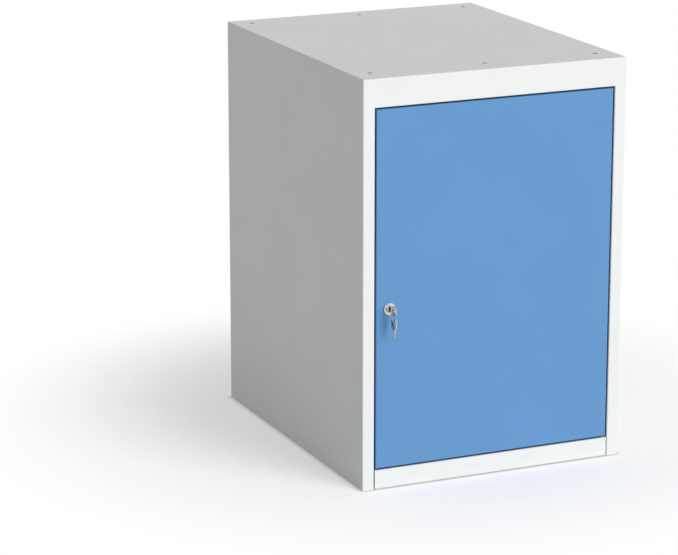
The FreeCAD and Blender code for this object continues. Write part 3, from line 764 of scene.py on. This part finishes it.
def gap_shade_strip(name, start, end, off):
    """A strip from start to end, on a return that looks the way of off."""
    work = bmesh.new()
    count = round((end - start).length / GAP_STRIP_STEP)
    rings = []
    for i in range(count + 1):
        middle = start.lerp(end, i / count)
        spots = [middle + (Vector((0, u, 0)) + off * v) * MM for u, v in GAP_STRIP_SECTION]
        rings.append([work.verts.new(spot) for spot in spots])
    bridge(work, rings)
    work.faces.new(rings[0])
    work.faces.new(rings[-1])
    add_piece(name, work, GAP_SHADE_MATERIAL, "carcass", Matrix())


def door_gap_shade():
    low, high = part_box("door_panel")
    left, right = low.x - DOOR_GAP, high.x + DOOR_GAP
    bottom, top = low.z - DOOR_GAP, high.z + DOOR_GAP
    back = low.y + GAP_STRIP_BACK
    first, last = bottom + GAP_STRIP_END, top - GAP_STRIP_END
    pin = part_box("lower_hinge_bush")[0].x - GAP_STRIP_PIN_CLEAR
    for side, x, off in (("left", left, 1), ("right", right, -1)):
        ends = (Vector((x, back, first)), Vector((x, back, last)))
        gap_shade_strip("door_gap_shade_" + side, *ends, Vector((off, 0, 0)))
    for side, z, off in (("bottom", bottom, 1), ("top", top, -1)):
        ends = (Vector((left + GAP_STRIP_END, back, z)), Vector((pin, back, z)))
        gap_shade_strip("door_gap_shade_" + side, *ends, Vector((0, 0, off)))


door_gap_shade()


# Stage, lights and camera.

def seen_directly(tree):
    """1 for rays from the camera and for the reflections and glass that show the background."""
    path = tree.nodes.new("ShaderNodeLightPath")
    shown = path.outputs["Is Camera Ray"]
    for ray in ("Is Glossy Ray", "Is Transmission Ray"):
        either = tree.nodes.new("ShaderNodeMath")
        either.operation = "MAXIMUM"
        tree.links.new(shown, either.inputs[0])
        tree.links.new(path.outputs[ray], either.inputs[1])
        shown = either.outputs["Value"]
    return shown


def mix_shaders(tree, share, first, second):
    mix = tree.nodes.new("ShaderNodeMixShader")
    tree.links.new(share, mix.inputs["Fac"])
    tree.links.new(first, mix.inputs[1])
    tree.links.new(second, mix.inputs[2])
    return mix.outputs["Shader"]


def diffuse(tree, colour):
    node = tree.nodes.new("ShaderNodeBsdfDiffuse")
    node.inputs["Color"].default_value = colour
    return node.outputs["BSDF"]


def emission(tree, strength):
    node = tree.nodes.new("ShaderNodeEmission")
    node.inputs["Strength"].default_value = strength
    return node.outputs["Emission"]


def floor_material():
    """Pale floor with the object's shade on it, that the camera sees as white further away."""
    material = bpy.data.materials.new("studio_floor")
    material.use_nodes = True
    tree = material.node_tree
    tree.nodes.clear()
    lit = tree.nodes.new("ShaderNodeAddShader")
    tree.links.new(diffuse(tree, FLOOR_SHADE), lit.inputs[0])
    tree.links.new(emission(tree, FLOOR_GLOW), lit.inputs[1])
    contact = tree.nodes.new("ShaderNodeAmbientOcclusion")
    contact.inputs["Distance"].default_value = CONTACT_REACH
    clear = map_range(tree, contact.outputs["AO"], OPEN_AT_WALL, 1).outputs["Result"]
    near = mix_shaders(tree, clear, emission(tree, CONTACT_LEVEL), lit.outputs["Shader"])
    # Nearer than the fade, even the lit floor stays a little below white: painted shade round the base.
    distance = vector_math(tree, "DISTANCE", place(tree), FLOOR_CENTRE)["Value"]
    fade = map_range(tree, distance, *FLOOR_FADE)
    fade.interpolation_type = "SMOOTHSTEP"
    shown = mix_shaders(tree, fade.outputs["Result"], near, emission(tree, 1))
    whole = mix_shaders(tree, seen_directly(tree), diffuse(tree, linear(FLOOR)), shown)
    output = tree.nodes.new("ShaderNodeOutputMaterial")
    tree.links.new(whole, output.inputs["Surface"])
    return material


def add_floor():
    work = bmesh.new()
    corners = ((-1, -1), (1, -1), (1, 1), (-1, 1))
    work.faces.new([work.verts.new((x * FLOOR_HALF, y * FLOOR_HALF, 0)) for x, y in corners])
    mesh = bpy.data.meshes.new("studio_floor")
    work.to_mesh(mesh)
    work.free()
    mesh.materials.append(floor_material())
    floor = bpy.data.objects.new("studio_floor", mesh)
    bpy.context.scene.collection.objects.link(floor)


def add_world():
    """White to the camera and in reflections, and a plain even light on the object."""
    world = bpy.data.worlds.new("studio")
    world.use_nodes = True
    tree = world.node_tree
    tree.nodes.clear()
    backgrounds = []
    for strength in (AMBIENT, 1):
        background = tree.nodes.new("ShaderNodeBackground")
        background.inputs["Color"].default_value = linear(WHITE)
        background.inputs["Strength"].default_value = strength
        backgrounds.append(background.outputs["Background"])
    output = tree.nodes.new("ShaderNodeOutputWorld")
    tree.links.new(mix_shaders(tree, seen_directly(tree), *backgrounds), output.inputs["Surface"])
    bpy.context.scene.world = world


def add_key_lamp():
    """Broad soft lamp from the front, right and above, that leaves no glare on the paint."""
    lamp = bpy.data.lights.new("key_lamp", "SUN")
    lamp.energy = KEY_STRENGTH
    lamp.angle = KEY_SPREAD
    key_lamp = bpy.data.objects.new("key_lamp", lamp)
    key_lamp.rotation_mode = "QUATERNION"
    key_lamp.rotation_quaternion = KEY_FROM.to_track_quat("Z", "Y")
    key_lamp.visible_glossy = False
    bpy.context.scene.collection.objects.link(key_lamp)


def add_camera():
    data = bpy.data.cameras.new("camera")
    data.lens = CAMERA_LENS
    data.sensor_width = SENSOR
    camera = bpy.data.objects.new("camera", data)
    flat, rise = math.cos(CAMERA_ELEVATION), math.sin(CAMERA_ELEVATION)
    back = Vector((math.sin(CAMERA_AZIMUTH) * flat, -math.cos(CAMERA_AZIMUTH) * flat, rise))
    camera.location = CAMERA_AIM + back * CAMERA_DISTANCE
    camera.rotation_mode = "QUATERNION"
    camera.rotation_quaternion = back.to_track_quat("Z", "Y")
    bpy.context.scene.collection.objects.link(camera)
    bpy.context.scene.camera = camera


add_floor()
add_world()
add_key_lamp()
add_camera()
bpy.context.scene.view_settings.view_transform = "Standard"
